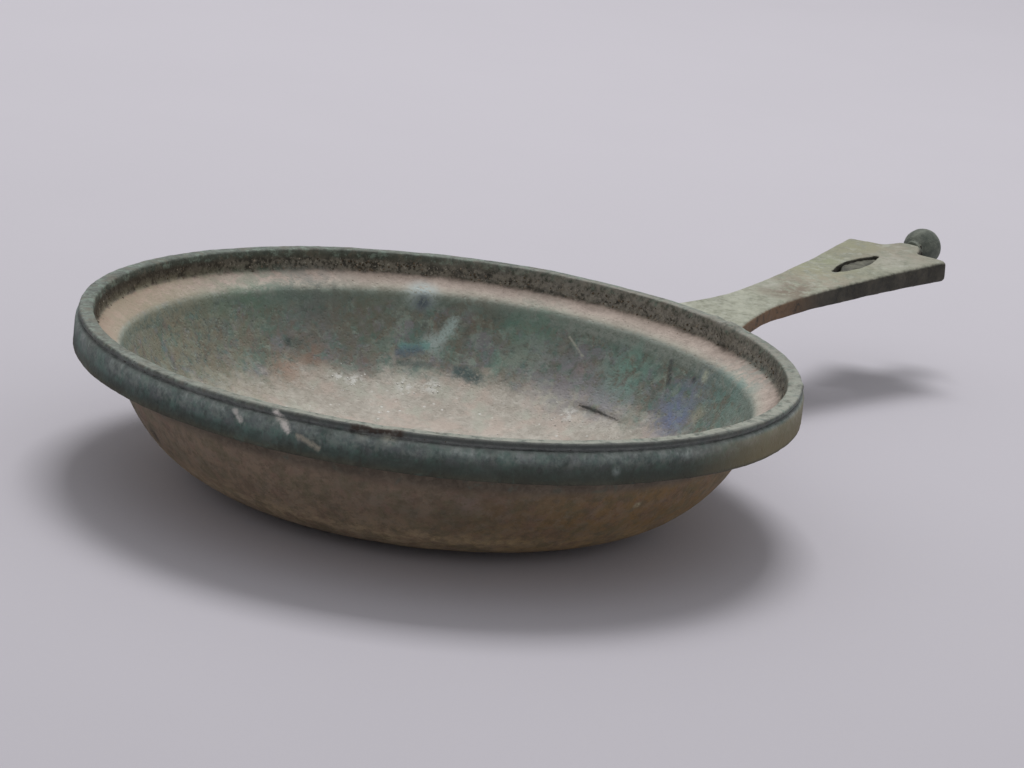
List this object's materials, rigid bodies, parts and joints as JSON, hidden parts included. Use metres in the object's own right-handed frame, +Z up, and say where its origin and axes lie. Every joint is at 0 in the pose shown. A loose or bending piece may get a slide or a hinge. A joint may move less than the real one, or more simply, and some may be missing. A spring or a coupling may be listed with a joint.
{
  "type": "handled bronze pan",
  "caption": "Shallow round bronze pan with a banded rim, an inner lid ledge, a curved bowl and a flat slotted handle ending in a small ball knob.",
  "frame": {"origin": "centre of the bowl's flat base, on the resting face", "axes": "+Z up along the bowl's axis, +X along the handle from the bowl to the knob"},
  "size_m": [0.25, 0.1358, 0.0307],
  "materials": {
    "bowl_bronze": "blue-green patina over bronze, dusty, with pale worn edges",
    "handle_bronze": "pale olive and grey-green patina, dusty, darker on the sides",
    "solder": "dull grey soft solder under patina and dust",
    "knob_bronze": "dark grey-green patina"
  },
  "bodies": {
    "root": {"bowl": "bowl_bronze", "handle": "handle_bronze", "handle_solder": "solder", "finial_knob": "knob_bronze"}
  },
  "joints": []
}
